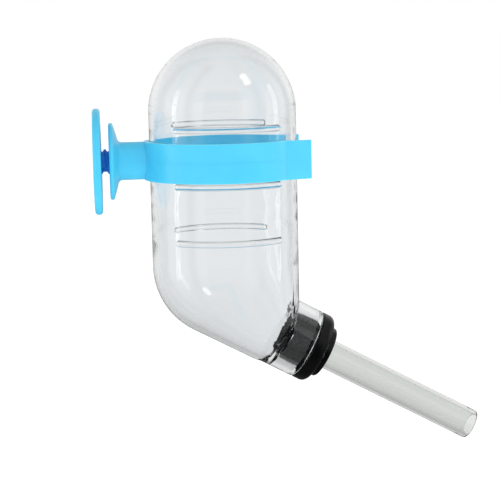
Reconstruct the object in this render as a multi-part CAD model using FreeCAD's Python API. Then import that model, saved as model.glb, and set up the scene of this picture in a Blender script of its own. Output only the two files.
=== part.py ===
import FreeCAD, Part
import math
import os

# A small-animal water bottle with a bent neck, hanging in a snap-in holder that clamps to cage wire.
# Millimetres and degrees. The origin is where the clamp's axis meets the plane of the saddle's rim.
# +X runs along the clamp's axis towards the bottle, +Z is up, and the XZ plane is a plane of symmetry.

Vec = FreeCAD.Vector
ORIGIN = Vec(0, 0, 0)
X_AXIS = Vec(1, 0, 0)
Y_AXIS = Vec(0, 1, 0)
Z_AXIS = Vec(0, 0, 1)
FULL_TURN = 360

# Bottle: a domed cylinder whose lower end narrows to a neck that points down and out.
bottle_axis_x = 36.7
body_radius = 23.8
body_wall = 1.7
dome_centre_z = 14.7
base_centre_z = -34.7
neck_slope = 28.7
neck_radius = 11.75
neck_bore_radius = 8.25
neck_reach = 36.3
shoulder_radius = 12.6
shoulder_reach = 21.8
base_depth_below_neck_axis = 12.1
rim_round = 0.6
mouth_chamfer = 1.1

# Raised beads on the front and the back of the body, which keep the holder's ring in place.
bead_radius = 1.05
bead_rise = 0.8
bead_top_z = 10.25
bead_spacing = 17.65
bead_rows = 3
bead_half_angle = 42

# Holder: an open ring with flared lips, a stem and a dished saddle, in one moulding.
ring_clearance = 0.3
ring_wall = 1.5
ring_height = 12.2
ring_open_half_angle = 43.5
lip_length = 8.3
lip_turn_in = 16
stem_radius = 6.1
saddle_radius = 12.35
saddle_edge_radius = 0.75
saddle_centre_x = 1.9
saddle_back_x = 2.7
saddle_fillet = 1.5
mould_line_rise = 0.1
mould_line_width = 0.3

# Clamp screw: a coarse right-hand thread with a round core, and a thin round knob pressed on its end.
thread_pitch = 2.5
thread_root_radius = 3.3
thread_crest_radius = 4.0
thread_root_width = 1.3
thread_crest_width = 0.55
thread_clearance = 0.18
thread_overlap = 0.15
sweeps_per_turn = 4
screw_tip_x = 8.0
socket_end_x = 11.2
core_radius = 2.0
running_gap = 0.05
face_gap = 0.1
knob_radius = 17.0
knob_thickness = 2.5
knob_edge_round = 1.0
knob_gap = 2.5
knob_spigot_depth = 1.5

# Rubber stopper, measured along the neck from the rim: positive is outwards.
plug_radius = 8.2
plug_length = 8.8
plug_end_round = 1.2
plug_recess_radius = 6.3
plug_recess_depth = 1.5
flange_radius = 11.75
flange_edge_round = 0.6
flange_side = 2.6
flange_dome = 2.2
boss_radius = 8.6
boss_end = 6.9
boss_round = 0.6
tube_hole_radius = 5.05

# Glass tube: standard 10 mm tubing, cut square inside and fire-polished at the open tip.
tube_radius = 5.0
tube_bore_radius = 3.8
tube_inner_end = -7.8
tube_tip = 63.0
tip_bore_radius = 3.6
tip_blend = 3.0
tip_round = 0.8

# Places worked out from the dimensions above.
slope = math.radians(neck_slope)
neck_out = Vec(math.cos(slope), 0, -math.sin(slope))
neck_up = Vec(math.sin(slope), 0, math.cos(slope))
base_centre = Vec(bottle_axis_x, 0, base_centre_z)
neck_foot = base_centre - neck_up * (body_radius - base_depth_below_neck_axis)
rim_centre = neck_foot + neck_out * neck_reach
shoulder_lift = shoulder_radius - base_depth_below_neck_axis
shoulder_centre = neck_foot + neck_out * shoulder_reach + neck_up * shoulder_lift
ring_inner_radius = body_radius + ring_clearance
ring_outer_radius = ring_inner_radius + ring_wall
knob_inner_x = -knob_gap
knob_outer_x = -knob_gap - knob_thickness


def revolved(edges, axis):
    """A solid of revolution about the X or Z axis from a closed chain of edges."""
    face = Part.Face(Part.Wire(edges))
    solid = face.revolve(ORIGIN, axis, FULL_TURN)
    return Part.Solid(solid.Shells[0])


def line(start, end):
    return Part.LineSegment(start, end).toShape()


def arc(start, middle, end):
    return Part.Arc(start, middle, end).toShape()


def profile(*stations):
    """Corner points at (x, radius) in the plane that is turned about the X axis."""
    return [Vec(x, radius, 0) for x, radius in stations]


def chain(points):
    """Straight edges through the points and back to the first."""
    return [line(a, b) for a, b in zip(points, points[1:] + points[:1])]


def corner_arc(centre, radius, start_angle, end_angle):
    """A round edge in the profile plane, between two angles about its centre."""
    def at(angle):
        turn = math.radians(angle)
        return centre + Vec(math.cos(turn), math.sin(turn), 0) * radius
    return arc(at(start_angle), at((start_angle + end_angle) / 2), at(end_angle))


def along_neck(shape):
    """Moves a shape made along +X from the origin to the neck, with the origin at the rim."""
    moved = shape.copy()
    moved.rotate(ORIGIN, Y_AXIS, neck_slope)
    moved.translate(rim_centre)
    return moved


def solid_of(shape):
    """The one solid that a boolean operation leaves, tidied."""
    tidy = shape.removeSplitter()
    return tidy.Solids[0]


def tapered_end(inset):
    """The body's lower end: a large ball drawn out to a small one, both set in by the wall."""
    big = body_radius - inset
    small = shoulder_radius - inset
    reach = shoulder_centre - base_centre
    run = reach.Length
    tilt = math.asin((big - small) / run)
    sine = math.sin(tilt)
    cosine = math.cos(tilt)
    back_pole = Vec(-big, 0, 0)
    big_tangent = Vec(big * sine, big * cosine, 0)
    small_tangent = Vec(run + small * sine, small * cosine, 0)
    front_pole = Vec(run + small, 0, 0)
    half_back = (math.pi - math.acos(sine)) / 2
    half_front = math.acos(sine) / 2
    big_middle = Vec(-big * math.cos(half_back), big * math.sin(half_back), 0)
    small_middle = Vec(run + small * math.cos(half_front), small * math.sin(half_front), 0)
    edges = [
        arc(back_pole, big_middle, big_tangent),
        line(big_tangent, small_tangent),
        arc(small_tangent, small_middle, front_pole),
        line(front_pole, back_pole),
    ]
    ball = revolved(edges, X_AXIS)
    dip = math.degrees(math.atan2(-reach.z, reach.x))
    ball.rotate(ORIGIN, Y_AXIS, dip)
    ball.translate(base_centre)
    side = Part.makeCylinder(big, 2 * body_radius, base_centre - Z_AXIS * 2 * body_radius, Z_AXIS)
    return ball.common(side)


def bottle_form(inset):
    """The body without its neck, as a filled solid set in from the outer surface."""
    radius = body_radius - inset
    # The barrel is stacked in bands that meet at the bead rows, so that no face has a bead in its middle.
    levels = [base_centre_z]
    for row in reversed(range(bead_rows)):
        bead_z = bead_top_z - row * bead_spacing
        levels += [bead_z, bead_z + bead_spacing / 2]
    levels[-1] = dome_centre_z
    bands = []
    for low, high in zip(levels, levels[1:]):
        bands.append(Part.makeCylinder(radius, high - low, Vec(bottle_axis_x, 0, low), Z_AXIS))
    dome = Part.makeSphere(radius, Vec(bottle_axis_x, 0, dome_centre_z), Z_AXIS, 0, 90, FULL_TURN)
    return dome.fuse(bands + [tapered_end(inset)])


def bead(centre_z, side_angle):
    """One raised bead with round ends, centred on the given side of the body."""
    bend_radius = body_radius + bead_rise - bead_radius
    centre = Vec(bottle_axis_x, 0, centre_z)
    start = side_angle - bead_half_angle
    bar = Part.makeTorus(bend_radius, bead_radius, ORIGIN, Z_AXIS, -180, 180, 2 * bead_half_angle)
    bar.rotate(ORIGIN, Z_AXIS, start)
    bar.translate(centre)
    ends = []
    for angle in (start, side_angle + bead_half_angle):
        turn = math.radians(angle)
        spot = centre + Vec(math.cos(turn), math.sin(turn), 0) * bend_radius
        ends.append(Part.makeSphere(bead_radius, spot))
    return bar.fuse(ends)


def make_bottle():
    neck_start = -(neck_reach - shoulder_reach)
    neck_edges = [
        line(Vec(neck_start, 0, 0), Vec(neck_start, neck_radius, 0)),
        line(Vec(neck_start, neck_radius, 0), Vec(-rim_round, neck_radius, 0)),
        corner_arc(Vec(-rim_round, neck_radius - rim_round, 0), rim_round, 90, 0),
        line(Vec(0, neck_radius - rim_round, 0), Vec(0, 0, 0)),
        line(Vec(0, 0, 0), Vec(neck_start, 0, 0)),
    ]
    neck = along_neck(revolved(neck_edges, X_AXIS))
    mouth_radius = neck_bore_radius + mouth_chamfer
    bore_edges = chain(profile(
        (neck_start, 0),
        (neck_start, neck_bore_radius),
        (-mouth_chamfer, neck_bore_radius),
        (0, mouth_radius),
        (mouth_chamfer, mouth_radius),
        (mouth_chamfer, 0),
    ))
    bore = along_neck(revolved(bore_edges, X_AXIS))
    beads = []
    for row in range(bead_rows):
        centre_z = bead_top_z - row * bead_spacing
        beads.append(bead(centre_z, 90))
        beads.append(bead(centre_z, -90))
    outside = bottle_form(0).fuse([neck] + beads)
    inside = bottle_form(body_wall).fuse(bore)
    return outside.cut(inside).Solids[0]


def helical_ridge(start_x, end_x, clearance):
    """The screw's ridge, wound along +X; with clearance it is the groove that the ridge runs in."""
    root = thread_root_radius - thread_overlap
    crest = thread_crest_radius + clearance
    half_root = thread_root_width / 2 + clearance
    half_crest = thread_crest_width / 2 + clearance
    corners = [
        Vec(root, 0, -half_root),
        Vec(crest, 0, -half_crest),
        Vec(crest, 0, half_crest),
        Vec(root, 0, half_root),
    ]
    section = Part.Wire(chain(corners))
    rise = thread_pitch / sweeps_per_turn
    path = Part.Wire(Part.makeHelix(thread_pitch, rise, root))
    sweep = path.makePipeShell([section], True, True)
    pieces = []
    for step in range(math.ceil((end_x - start_x) / rise)):
        piece = sweep.copy()
        piece.rotate(ORIGIN, Z_AXIS, step * FULL_TURN / sweeps_per_turn)
        piece.translate(Z_AXIS * step * rise)
        pieces.append(piece)
    ridge = pieces[0].fuse(pieces[1:])
    ridge.rotate(ORIGIN, Y_AXIS, 90)
    ridge.translate(Vec(start_x, 0, 0))
    return ridge


def make_lip(side):
    """A flared lip on one end of the open ring: side is 1 at the back and -1 at the front."""
    mid_radius = ring_inner_radius + ring_wall / 2
    turn = math.radians(ring_open_half_angle)
    root = Vec(bottle_axis_x + mid_radius * math.cos(turn), side * mid_radius * math.sin(turn), 0)
    half_height = ring_height / 2
    plate = Part.makeBox(lip_length, ring_wall, ring_height, Vec(0, -ring_wall / 2, -half_height))
    end = Part.makeCylinder(ring_wall / 2, ring_height, Vec(lip_length, 0, -half_height), Z_AXIS)
    joint = Part.makeCylinder(ring_wall / 2, ring_height, Vec(0, 0, -half_height), Z_AXIS)
    lip = plate.fuse([end, joint])
    lip.rotate(ORIGIN, Z_AXIS, -side * lip_turn_in)
    lip.translate(root)
    return lip


def make_saddle():
    """The dished disc that bears on the cage wire, with the fillet behind it."""
    edge_r = saddle_radius - saddle_edge_radius
    edge_x = saddle_edge_radius
    tilt = math.degrees(math.atan2(saddle_centre_x, edge_r))
    face_angle = 180 + tilt
    back_angle = tilt
    edge = corner_arc(Vec(edge_x, edge_r, 0), saddle_edge_radius, face_angle, back_angle)
    face_end = edge.Vertexes[0].Point
    back_start = edge.Vertexes[-1].Point
    fillet_top = Vec(saddle_back_x, stem_radius + saddle_fillet, 0)
    fillet_centre = Vec(saddle_back_x + saddle_fillet, stem_radius + saddle_fillet, 0)
    fillet = corner_arc(fillet_centre, saddle_fillet, 180, 270)
    fillet_end = Vec(saddle_back_x + saddle_fillet, stem_radius, 0)
    edges = [
        line(Vec(saddle_centre_x, 0, 0), face_end),
        edge,
        line(back_start, fillet_top),
        fillet,
        line(fillet_end, Vec(fillet_end.x, 0, 0)),
        line(Vec(fillet_end.x, 0, 0), Vec(saddle_centre_x, 0, 0)),
    ]
    return revolved(edges, X_AXIS)


def open_ring(outer_radius, height):
    """A ring about the bottle's axis, open towards +X between its two ends."""
    base = Vec(bottle_axis_x, 0, -height / 2)
    sweep = FULL_TURN - 2 * ring_open_half_angle
    outer = Part.makeCylinder(outer_radius, height, ORIGIN, Z_AXIS, sweep)
    outer.rotate(ORIGIN, Z_AXIS, ring_open_half_angle)
    outer.translate(base)
    inner = Part.makeCylinder(ring_inner_radius, height, base, Z_AXIS)
    return outer.cut(inner)


def make_holder():
    ring_x = bottle_axis_x - ring_inner_radius
    stem_start = saddle_back_x
    stem_length = ring_x + ring_wall - stem_start
    stem = Part.makeCylinder(stem_radius, stem_length, Vec(stem_start, 0, 0), X_AXIS)
    seam_start = saddle_back_x + saddle_fillet
    seam_half = stem_radius + mould_line_rise
    seam_corner = Vec(seam_start, -seam_half, -mould_line_width / 2)
    stem_seam = Part.makeBox(ring_x - seam_start, 2 * seam_half, mould_line_width, seam_corner)
    ring_seam = open_ring(ring_outer_radius + mould_line_rise, mould_line_width)
    body = open_ring(ring_outer_radius, ring_height).fuse(
        [stem, make_saddle(), make_lip(1), make_lip(-1), stem_seam, ring_seam])
    room = Part.makeCylinder(
        ring_inner_radius, ring_height, Vec(bottle_axis_x, 0, -ring_height / 2), Z_AXIS)
    hole_radius = thread_root_radius + thread_clearance
    hole = Part.makeCylinder(hole_radius, socket_end_x, ORIGIN, X_AXIS)
    groove = helical_ridge(knob_inner_x - thread_pitch, socket_end_x, thread_clearance)
    return solid_of(body.cut(room).cut(hole)).cut(groove).Solids[0]


def make_screw():
    """The threaded sleeve, with the plain spigot that the knob is pressed on to."""
    spigot_x = knob_inner_x - knob_spigot_depth
    sleeve = Part.makeCylinder(thread_root_radius, screw_tip_x - spigot_x, Vec(spigot_x, 0, 0), X_AXIS)
    ridge = helical_ridge(knob_inner_x - thread_pitch, screw_tip_x + thread_pitch, 0)
    threaded_length = screw_tip_x - knob_inner_x
    limits = Part.makeCylinder(2 * thread_crest_radius, threaded_length, Vec(knob_inner_x, 0, 0), X_AXIS)
    eye = Part.makeCylinder(core_radius + running_gap, 2 * screw_tip_x, Vec(-screw_tip_x, 0, 0), X_AXIS)
    return sleeve.cut(eye).fuse(ridge.common(limits)).Solids[0]


def make_core():
    """The screw's round middle. It only slides, and the threaded sleeve turns on it."""
    start_x = knob_inner_x - knob_spigot_depth + face_gap
    return Part.makeCylinder(core_radius, screw_tip_x - start_x, Vec(start_x, 0, 0), X_AXIS)


def make_knob():
    side_r = knob_radius - knob_edge_round
    outer_round_x = knob_outer_x + knob_edge_round
    inner_round_x = knob_inner_x - knob_edge_round
    edges = [
        line(Vec(knob_outer_x, 0, 0), Vec(knob_outer_x, side_r, 0)),
        corner_arc(Vec(outer_round_x, side_r, 0), knob_edge_round, 180, 90),
        line(Vec(outer_round_x, knob_radius, 0), Vec(inner_round_x, knob_radius, 0)),
        corner_arc(Vec(inner_round_x, side_r, 0), knob_edge_round, 90, 0),
        line(Vec(knob_inner_x, side_r, 0), Vec(knob_inner_x, 0, 0)),
        line(Vec(knob_inner_x, 0, 0), Vec(knob_outer_x, 0, 0)),
    ]
    disc = revolved(edges, X_AXIS)
    socket = Part.makeCylinder(
        thread_root_radius, knob_spigot_depth, Vec(knob_inner_x - knob_spigot_depth, 0, 0), X_AXIS)
    return solid_of(disc.cut(socket))


def make_stopper():
    recess_floor = -plug_length + plug_recess_depth
    plug_side = plug_radius - plug_end_round
    flange_rim = flange_radius - flange_edge_round
    edge_x = face_gap + flange_edge_round
    flange_top = flange_side + flange_dome
    dome_r = flange_radius - flange_dome
    boss_side = boss_end - boss_round
    boss_r = boss_radius - boss_round
    edges = [
        line(Vec(recess_floor, tube_hole_radius, 0), Vec(recess_floor, plug_recess_radius, 0)),
        line(Vec(recess_floor, plug_recess_radius, 0), Vec(-plug_length, plug_side, 0)),
        corner_arc(Vec(-plug_length + plug_end_round, plug_side, 0), plug_end_round, 180, 90),
        line(Vec(-plug_length + plug_end_round, plug_radius, 0), Vec(face_gap, plug_radius, 0)),
        line(Vec(face_gap, plug_radius, 0), Vec(face_gap, flange_rim, 0)),
        corner_arc(Vec(edge_x, flange_rim, 0), flange_edge_round, 180, 90),
        line(Vec(edge_x, flange_radius, 0), Vec(flange_side, flange_radius, 0)),
        corner_arc(Vec(flange_side, dome_r, 0), flange_dome, 90, 0),
        line(Vec(flange_top, dome_r, 0), Vec(flange_top, boss_radius, 0)),
        line(Vec(flange_top, boss_radius, 0), Vec(boss_side, boss_radius, 0)),
        corner_arc(Vec(boss_side, boss_r, 0), boss_round, 90, 0),
        line(Vec(boss_end, boss_r, 0), Vec(boss_end, tube_hole_radius, 0)),
        line(Vec(boss_end, tube_hole_radius, 0), Vec(recess_floor, tube_hole_radius, 0)),
    ]
    return along_neck(revolved(edges, X_AXIS))


def make_tube():
    wall_middle = (tube_radius + tip_bore_radius) / 2
    outer_round_x = tube_tip - tip_round
    tip_outer = Vec(outer_round_x, tube_radius, 0)
    tip_inner = Vec(outer_round_x, tip_bore_radius, 0)
    edges = [
        line(Vec(tube_inner_end, tube_bore_radius, 0), Vec(tube_inner_end, tube_radius, 0)),
        line(Vec(tube_inner_end, tube_radius, 0), tip_outer),
        arc(tip_outer, Vec(tube_tip, wall_middle, 0), tip_inner),
        line(tip_inner, Vec(outer_round_x - tip_blend, tube_bore_radius, 0)),
        line(Vec(outer_round_x - tip_blend, tube_bore_radius, 0), Vec(tube_inner_end, tube_bore_radius, 0)),
    ]
    return along_neck(revolved(edges, X_AXIS))


makers = {
    "holder_ring": make_holder,
    "bottle": make_bottle,
    "stopper": make_stopper,
    "glass_tube": make_tube,
    "screw_core": make_core,
    "clamp_screw": make_screw,
    "knob_disc": make_knob,
}

os.makedirs("parts", exist_ok=True)
for name, maker in makers.items():
    shape = maker()
    shape.exportStep("parts/" + name + ".step")
    print(name, "valid", shape.isValid(), "volume", round(shape.Volume, 1))
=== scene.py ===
import bpy
import math
from mathutils import Matrix, Vector


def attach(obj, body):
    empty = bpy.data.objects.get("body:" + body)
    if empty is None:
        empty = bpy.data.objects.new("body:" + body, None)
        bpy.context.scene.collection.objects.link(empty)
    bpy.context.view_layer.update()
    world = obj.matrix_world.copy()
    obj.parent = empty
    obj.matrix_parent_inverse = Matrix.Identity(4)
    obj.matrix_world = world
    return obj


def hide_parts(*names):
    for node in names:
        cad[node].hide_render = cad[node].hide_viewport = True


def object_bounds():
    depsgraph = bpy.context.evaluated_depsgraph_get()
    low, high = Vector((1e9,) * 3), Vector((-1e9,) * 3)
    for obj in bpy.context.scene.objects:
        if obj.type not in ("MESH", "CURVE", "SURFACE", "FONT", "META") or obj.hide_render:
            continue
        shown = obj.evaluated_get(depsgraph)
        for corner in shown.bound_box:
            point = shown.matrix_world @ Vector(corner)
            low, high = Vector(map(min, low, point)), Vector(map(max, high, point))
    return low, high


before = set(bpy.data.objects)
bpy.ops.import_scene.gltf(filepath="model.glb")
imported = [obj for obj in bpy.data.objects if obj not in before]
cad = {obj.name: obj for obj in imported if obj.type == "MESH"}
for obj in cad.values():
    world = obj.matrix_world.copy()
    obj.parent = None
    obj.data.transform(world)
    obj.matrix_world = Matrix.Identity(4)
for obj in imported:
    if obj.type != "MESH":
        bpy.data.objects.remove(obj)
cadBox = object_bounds()
scene = bpy.context.scene


def deselectAll():
    if bpy.context.object and bpy.context.object.mode != "OBJECT":
        bpy.ops.object.mode_set(mode="OBJECT")
    bpy.ops.object.select_all(action="DESELECT")


def linear(code):  # sRGB hex to linear RGBA
    parts = [int(code[i:i + 2], 16) / 255 for i in (1, 3, 5)]
    return [p / 12.92 if p <= 0.04045 else ((p + 0.055) / 1.055) ** 2.4 for p in parts] + [1.0]


def addNode(tree, kind, settings=None, inputs=None, links=None):
    node = tree.nodes.new(kind)
    for key, value in (settings or {}).items():
        setattr(node, key, value)
    for key, value in (inputs or {}).items():
        node.inputs[key].default_value = value
    for key, source in (links or {}).items():
        tree.links.new(source, node.inputs[key])
    return node


def newMaterial(name):
    material = bpy.data.materials.new(name)
    material.use_nodes = True
    tree = material.node_tree
    for node in list(tree.nodes):
        tree.nodes.remove(node)
    output = addNode(tree, "ShaderNodeOutputMaterial")
    return material, tree, output


def finishClear(material, tree, output, shader, shade):  # clear walls shade what is behind them only a little
    clear = addNode(tree, "ShaderNodeBsdfTransparent", {}, {"Color": linear(shade)})
    ray = addNode(tree, "ShaderNodeLightPath")
    soft = addNode(tree, "ShaderNodeMath", {"operation": "MAXIMUM"}, {},
                   {0: ray.outputs["Is Shadow Ray"], 1: ray.outputs["Is Diffuse Ray"]})
    blend = addNode(tree, "ShaderNodeMixShader", {}, {},
                    {0: soft.outputs[0], 1: shader.outputs["BSDF"], 2: clear.outputs["BSDF"]})
    tree.links.new(blend.outputs[0], output.inputs["Surface"])
    return material


# clear crystal polystyrene, injection moulded and polished: glassy, nearly colourless, a little wavy
clearPolystyrene = {"colour": "#f6f8f9", "shade": "#f4f7f8", "ior": 1.52, "roughness": 0.02, "waveMm": 9.0,
                    "waveDetail": 1.0, "waveRoughness": 0.4, "waveDepthMm": 0.012, "waveStrength": 0.25}


def makeClearPolystyrene():
    v = clearPolystyrene
    material, tree, output = newMaterial("crystalPolystyreneMoulded")
    place = addNode(tree, "ShaderNodeTexCoord").outputs["Object"]
    wave = addNode(tree, "ShaderNodeTexNoise", {},
                   {"Scale": 1000 / v["waveMm"], "Detail": v["waveDetail"], "Roughness": v["waveRoughness"]},
                   {"Vector": place})
    bump = addNode(tree, "ShaderNodeBump", {},
                   {"Strength": v["waveStrength"], "Distance": v["waveDepthMm"] / 1000},
                   {"Height": wave.outputs["Fac"]})
    shader = addNode(tree, "ShaderNodeBsdfPrincipled", {},
                     {"Base Color": linear(v["colour"]), "Roughness": v["roughness"], "IOR": v["ior"],
                      "Transmission Weight": 1.0}, {"Normal": bump.outputs["Normal"]})
    return finishClear(material, tree, output, shader, v["shade"])


# drawn borosilicate tube: smooth, faintly grey, with very slight unevenness from the drawing
drawnGlass = {"colour": "#eceeec", "shade": "#f0f4f3", "ior": 1.474, "roughness": 0.01, "unevenMm": 1.6,
              "unevenDepthMm": 0.02, "unevenStrength": 0.04}


def makeDrawnGlass():
    v = drawnGlass
    material, tree, output = newMaterial("borosilicateGlassDrawn")
    place = addNode(tree, "ShaderNodeTexCoord").outputs["Object"]
    uneven = addNode(tree, "ShaderNodeTexNoise", {},
                     {"Scale": 1000 / v["unevenMm"], "Detail": 0.0}, {"Vector": place})
    bump = addNode(tree, "ShaderNodeBump", {},
                   {"Strength": v["unevenStrength"], "Distance": v["unevenDepthMm"] / 1000},
                   {"Height": uneven.outputs["Fac"]})
    shader = addNode(tree, "ShaderNodeBsdfPrincipled", {},
                     {"Base Color": linear(v["colour"]), "Roughness": v["roughness"], "IOR": v["ior"],
                      "Transmission Weight": 1.0}, {"Normal": bump.outputs["Normal"]})
    return finishClear(material, tree, output, shader, v["shade"])


# vulcanised rubber stopper, moulded in a polished tool: black with a soft gloss and fine bloom
blackRubber = {"colour": "#040405", "bloom": "#0a0a0c", "specular": 0.22, "glossiest": 0.21, "dullest": 0.34,
               "cloudMm": 6.25, "grainMm": 0.5, "grainDepthMm": 0.02, "grainStrength": 0.15}


def makeBlackRubber():
    v = blackRubber
    material, tree, output = newMaterial("blackRubberMoulded")
    place = addNode(tree, "ShaderNodeTexCoord").outputs["Object"]
    grain = addNode(tree, "ShaderNodeTexNoise", {},
                    {"Scale": 1000 / v["grainMm"], "Detail": 3.0}, {"Vector": place})
    cloud = addNode(tree, "ShaderNodeTexNoise", {}, {"Scale": 1000 / v["cloudMm"], "Detail": 2.0},
                    {"Vector": place})
    colour = addNode(tree, "ShaderNodeMix", {"data_type": "RGBA"}, {}, {"Factor": cloud.outputs["Fac"]})
    colour.inputs[6].default_value = linear(v["colour"])
    colour.inputs[7].default_value = linear(v["bloom"])
    gloss = addNode(tree, "ShaderNodeMapRange", {}, {"To Min": v["glossiest"], "To Max": v["dullest"]},
                    {"Value": cloud.outputs["Fac"]})
    bump = addNode(tree, "ShaderNodeBump", {},
                   {"Strength": v["grainStrength"], "Distance": v["grainDepthMm"] / 1000},
                   {"Height": grain.outputs["Fac"]})
    shader = addNode(tree, "ShaderNodeBsdfPrincipled", {}, {"Specular IOR Level": v["specular"]},
                     {"Base Color": colour.outputs[2], "Roughness": gloss.outputs["Result"],
                      "Normal": bump.outputs["Normal"]})
    tree.links.new(shader.outputs["BSDF"], output.inputs["Surface"])
    return material


# polypropylene coloured in the mass: translucent sky blue that glows in thin places, smooth with flow marks
skyPolypropylene = {"colour": "#48cdf8", "flow": "#5ed8fa", "roughness": 0.28, "flowMm": 14.0, "glowMm": 1.6}
# the same plastic in a deeper, more saturated blue for the screw
deepPolypropylene = {"colour": "#1f96fb", "flow": "#2aa2ff", "roughness": 0.3, "flowMm": 5.0, "glowMm": 0.8}
# what both share: how far each colour travels inside, and the fine texture of the skin
polypropylene = {"ior": 1.49, "glow": 0.35, "glowRadii": (0.3, 0.8, 1.0), "flowTwist": 0.6, "skinMm": 1.111,
                 "skinDepthMm": 0.02, "skinStrength": 0.06}


def makePolypropylene(name, v):
    shared = polypropylene
    material, tree, output = newMaterial(name)
    place = addNode(tree, "ShaderNodeTexCoord").outputs["Object"]
    flow = addNode(tree, "ShaderNodeTexNoise", {},
                   {"Scale": 1000 / v["flowMm"], "Detail": 2.0, "Distortion": shared["flowTwist"]},
                   {"Vector": place})
    colour = addNode(tree, "ShaderNodeMix", {"data_type": "RGBA"}, {}, {"Factor": flow.outputs["Fac"]})
    colour.inputs[6].default_value = linear(v["colour"])
    colour.inputs[7].default_value = linear(v["flow"])
    skin = addNode(tree, "ShaderNodeTexNoise", {}, {"Scale": 1000 / shared["skinMm"], "Detail": 2.0},
                   {"Vector": place})
    bump = addNode(tree, "ShaderNodeBump", {},
                   {"Strength": shared["skinStrength"], "Distance": shared["skinDepthMm"] / 1000},
                   {"Height": skin.outputs["Fac"]})
    shader = addNode(tree, "ShaderNodeBsdfPrincipled", {},
                     {"IOR": shared["ior"], "Roughness": v["roughness"], "Subsurface Weight": shared["glow"],
                      "Subsurface Scale": v["glowMm"] / 1000, "Subsurface Radius": shared["glowRadii"]},
                     {"Base Color": colour.outputs[2], "Normal": bump.outputs["Normal"]})
    tree.links.new(shader.outputs["BSDF"], output.inputs["Surface"])
    return material


polystyrene = makeClearPolystyrene()
glass = makeDrawnGlass()
rubber = makeBlackRubber()
skyBlue = makePolypropylene("skyBluePolypropyleneMoulded", skyPolypropylene)
deepBlue = makePolypropylene("deepBluePolypropyleneMoulded", deepPolypropylene)
for nodeName, material in (("bottle", polystyrene), ("glass_tube", glass), ("stopper", rubber),
                           ("holder_ring", skyBlue), ("knob_disc", skyBlue), ("clamp_screw", deepBlue),
                           ("screw_core", deepBlue)):
    for spot in cad[nodeName].material_slots:
        spot.material = material
print("materials ready")


def copyOfNode(nodeName, name, weldMm):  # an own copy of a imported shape, welded, without its stored shading
    deselectAll()
    piece = cad[nodeName].copy()
    piece.data = cad[nodeName].data.copy()
    piece.name = name
    piece.parent = None
    for key in list(piece.keys()):
        del piece[key]
    scene.collection.objects.link(piece)
    piece.select_set(True)
    bpy.context.view_layer.objects.active = piece
    bpy.ops.mesh.customdata_custom_splitnormals_clear()
    bpy.ops.object.mode_set(mode="EDIT")
    bpy.ops.mesh.select_all(action="SELECT")
    bpy.ops.mesh.remove_doubles(threshold=weldMm / 1000)
    return piece


def cutLoops(place, normal, gap, count):  # parallel cuts that give long faces even loops
    for step in range(count):
        bpy.ops.mesh.select_all(action="SELECT")
        bpy.ops.mesh.bisect(plane_co=Vector(place) + Vector(normal) * gap * step, plane_no=normal)


# bottle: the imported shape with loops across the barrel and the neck, so that light bends evenly through it
bottleLook = {"weldMm": 0.002, "loopGapMm": 2.6, "barrelLoops": 26, "lowestLoop": (0, 0, -0.0345), "neckLoops": 6,
              "sharpDeg": 28.0, "neckSlopeDeg": 28.7, "rim": (0.06292, 0, -0.0624)}
slope = math.radians(bottleLook["neckSlopeDeg"])
neckOut = Vector((math.cos(slope), 0, -math.sin(slope)))
shell = copyOfNode("bottle", "bottleShell", bottleLook["weldMm"])
cutLoops(bottleLook["lowestLoop"], (0, 0, 1), bottleLook["loopGapMm"] / 1000, bottleLook["barrelLoops"])
cutLoops(bottleLook["rim"], -neckOut, bottleLook["loopGapMm"] / 1000, bottleLook["neckLoops"])
bpy.ops.object.mode_set(mode="OBJECT")
bpy.ops.object.shade_smooth_by_angle(angle=math.radians(bottleLook["sharpDeg"]))
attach(shell, "bottle_body")
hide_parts("bottle")
print("bottle ready")

# studio: a pale floor and a white room that is plain to the camera; for every other ray the room is dimmer above
# and below, has darker bands at the sides that draw the edges of clear walls, and mirrors a dark table below
studio = {"floorZ": -0.16, "floorSize": 8.0, "floorColour": "#f4f4f4", "floorRoughness": 0.8, "floorGlow": 0.55,
          "horizon": 0.95, "zenith": 0.55, "dimFrom": 0.15, "dimTo": 0.9,
          "bandAngle": 58.0, "bandWidth": 14.0, "bandDepth": 0.55,
          "tableDepth": 0.8, "tableFrom": -0.35, "tableTo": 0.25}

material, tree, output = newMaterial("paleStudioFloor")
shader = addNode(tree, "ShaderNodeBsdfPrincipled", {},
                 {"Base Color": linear(studio["floorColour"]), "Roughness": studio["floorRoughness"],
                  "Emission Color": linear("#ffffff"), "Emission Strength": studio["floorGlow"]})
tree.links.new(shader.outputs["BSDF"], output.inputs["Surface"])
deselectAll()
bpy.ops.mesh.primitive_plane_add(size=studio["floorSize"], location=(0, 0, studio["floorZ"]))
floor = bpy.context.object
floor.name = "studioFloor"
floor.data.materials.append(material)
floor.visible_transmission = False
floor.visible_glossy = False

world = bpy.data.worlds.new("whiteRoom")
scene.world = world
world.use_nodes = True
tree = world.node_tree
for node in list(tree.nodes):
    tree.nodes.remove(node)
output = addNode(tree, "ShaderNodeOutputWorld")
direction = addNode(tree, "ShaderNodeSeparateXYZ", {}, {},
                    {"Vector": addNode(tree, "ShaderNodeTexCoord").outputs["Generated"]})
side = addNode(tree, "ShaderNodeMath", {"operation": "ABSOLUTE"}, {}, {0: direction.outputs["X"]})
depth = addNode(tree, "ShaderNodeMath", {"operation": "ABSOLUTE"}, {}, {0: direction.outputs["Y"]})
angle = addNode(tree, "ShaderNodeMath", {"operation": "ARCTAN2"}, {}, {0: side.outputs[0], 1: depth.outputs[0]})
fromBand = addNode(tree, "ShaderNodeMath", {"operation": "SUBTRACT"}, {1: math.radians(studio["bandAngle"])},
                   {0: angle.outputs[0]})
away = addNode(tree, "ShaderNodeMath", {"operation": "ABSOLUTE"}, {}, {0: fromBand.outputs[0]})
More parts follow.
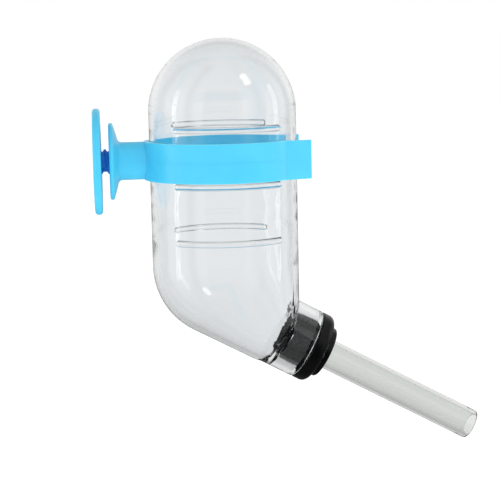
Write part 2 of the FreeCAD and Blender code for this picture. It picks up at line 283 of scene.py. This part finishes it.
band = addNode(tree, "ShaderNodeMapRange", {"interpolation_type": "SMOOTHSTEP"},
               {"From Max": math.radians(studio["bandWidth"]), "To Min": 1 - studio["bandDepth"], "To Max": 1.0},
               {"Value": away.outputs[0]})
rise = addNode(tree, "ShaderNodeMath", {"operation": "ABSOLUTE"}, {}, {0: direction.outputs["Z"]})
height = addNode(tree, "ShaderNodeMapRange", {"interpolation_type": "SMOOTHSTEP"},
                 {"From Min": studio["dimFrom"], "From Max": studio["dimTo"],
                  "To Min": studio["horizon"], "To Max": studio["zenith"]},
                 {"Value": rise.outputs[0]})
level = addNode(tree, "ShaderNodeMath", {"operation": "MULTIPLY"}, {},
                {0: band.outputs["Result"], 1: height.outputs["Result"]})
ray = addNode(tree, "ShaderNodeLightPath")
lowness = addNode(tree, "ShaderNodeMapRange", {"interpolation_type": "SMOOTHSTEP"},
                  {"From Min": studio["tableFrom"], "From Max": studio["tableTo"],
                   "To Min": studio["tableDepth"], "To Max": 0.0},
                  {"Value": direction.outputs["Z"]})
bounced = addNode(tree, "ShaderNodeMath", {"operation": "SUBTRACT", "use_clamp": True}, {},
                  {0: ray.outputs["Is Glossy Ray"], 1: ray.outputs["Is Transmission Ray"]})
mirrored = addNode(tree, "ShaderNodeMath", {"operation": "MULTIPLY"}, {},
                   {0: lowness.outputs["Result"], 1: bounced.outputs[0]})
kept = addNode(tree, "ShaderNodeMath", {"operation": "SUBTRACT"}, {0: 1.0}, {1: mirrored.outputs[0]})
strength = addNode(tree, "ShaderNodeMath", {"operation": "MULTIPLY"}, {},
                   {0: level.outputs[0], 1: kept.outputs[0]})
room = addNode(tree, "ShaderNodeBackground", {}, {"Color": linear("#ffffff")}, {"Strength": strength.outputs[0]})
paper = addNode(tree, "ShaderNodeBackground", {}, {"Color": linear("#ffffff"), "Strength": 1.0})
blend = addNode(tree, "ShaderNodeMixShader", {}, {},
                {0: ray.outputs["Is Camera Ray"], 1: room.outputs[0], 2: paper.outputs[0]})
tree.links.new(blend.outputs[0], output.inputs["Surface"])

# a dark card that only mirrored rays see, so that faces turned to the front stay calm
cardLook = {"colour": "#26282a", "place": (0.0, -0.75, 0.0), "width": 0.85, "height": 1.2}
material, tree, output = newMaterial("frontCardPaint")
shader = addNode(tree, "ShaderNodeBsdfDiffuse", {}, {"Color": linear(cardLook["colour"])})
tree.links.new(shader.outputs["BSDF"], output.inputs["Surface"])
deselectAll()
bpy.ops.mesh.primitive_plane_add(size=1.0)
card = bpy.context.object
card.name = "frontCard"
card.scale = (cardLook["width"], cardLook["height"], 1.0)
card.location = cardLook["place"]
middle = (cadBox[0] + cadBox[1]) / 2
card.rotation_euler = (middle - card.location).to_track_quat("Z", "Y").to_euler()
card.data.materials.append(material)
card.visible_camera = False
card.visible_shadow = False
card.visible_transmission = False
card.visible_diffuse = False


def makeSoftbox(name, place, target, width, height, radiance):  # radiance is what the lit face shows
    data = bpy.data.lights.new(name, "AREA")
    data.shape = "RECTANGLE"
    data.size = width
    data.size_y = height
    data.energy = radiance * math.pi * width * height
    lamp = bpy.data.objects.new(name, data)
    scene.collection.objects.link(lamp)
    lamp.location = place
    lamp.rotation_euler = (Vector(target) - Vector(place)).to_track_quat("-Z", "Y").to_euler()
    lamp.visible_camera = False
    return lamp


ringCentre = (0.0367, 0, 0)
domeCentre = (0.0367, 0, 0.0147)
makeSoftbox("leftStrip", (-0.5, -0.05, 0.05), ringCentre, 0.035, 0.5, 2.2)
makeSoftbox("rightStrip", (0.55, -0.02, 0.05), ringCentre, 0.035, 0.5, 2.2)
fill = makeSoftbox("frontFill", (0.05, -0.55, 0.3), ringCentre, 0.4, 0.4, 1.2)
fill.visible_glossy = False
fill.visible_transmission = False
makeSoftbox("topBox", (0.39, -0.30, 0.535), domeCentre, 0.12, 0.2, 4.0)
print("studio ready")

# camera: metres and degrees; yaw is clockwise from +Y and pitch is downwards
view = {"place": (0.00207, -0.44568, 0.03464), "yaw": 5.475, "pitch": 7.91, "roll": -1.304,
        "lens": 99.6, "shiftY": -0.017, "nearest": 0.01, "farthest": 20}
yaw, pitch, roll = (math.radians(view[k]) for k in ("yaw", "pitch", "roll"))
ahead = Vector((math.sin(yaw) * math.cos(pitch), math.cos(yaw) * math.cos(pitch), -math.sin(pitch)))
levelAxis = Vector((math.cos(yaw), -math.sin(yaw), 0))
above = levelAxis.cross(ahead)
right = levelAxis * math.cos(roll) + above * math.sin(roll)
upward = -levelAxis * math.sin(roll) + above * math.cos(roll)
cameraData = bpy.data.cameras.new("studioCamera")
cameraData.lens = view["lens"]
cameraData.shift_y = view["shiftY"]
cameraData.clip_start = view["nearest"]
cameraData.clip_end = view["farthest"]
camera = bpy.data.objects.new("studioCamera", cameraData)
scene.collection.objects.link(camera)
turn = Matrix((right, upward, -ahead)).transposed().to_4x4()
camera.matrix_world = Matrix.Translation(view["place"]) @ turn
scene.camera = camera
scene.view_settings.view_transform = "Standard"
print("camera ready")
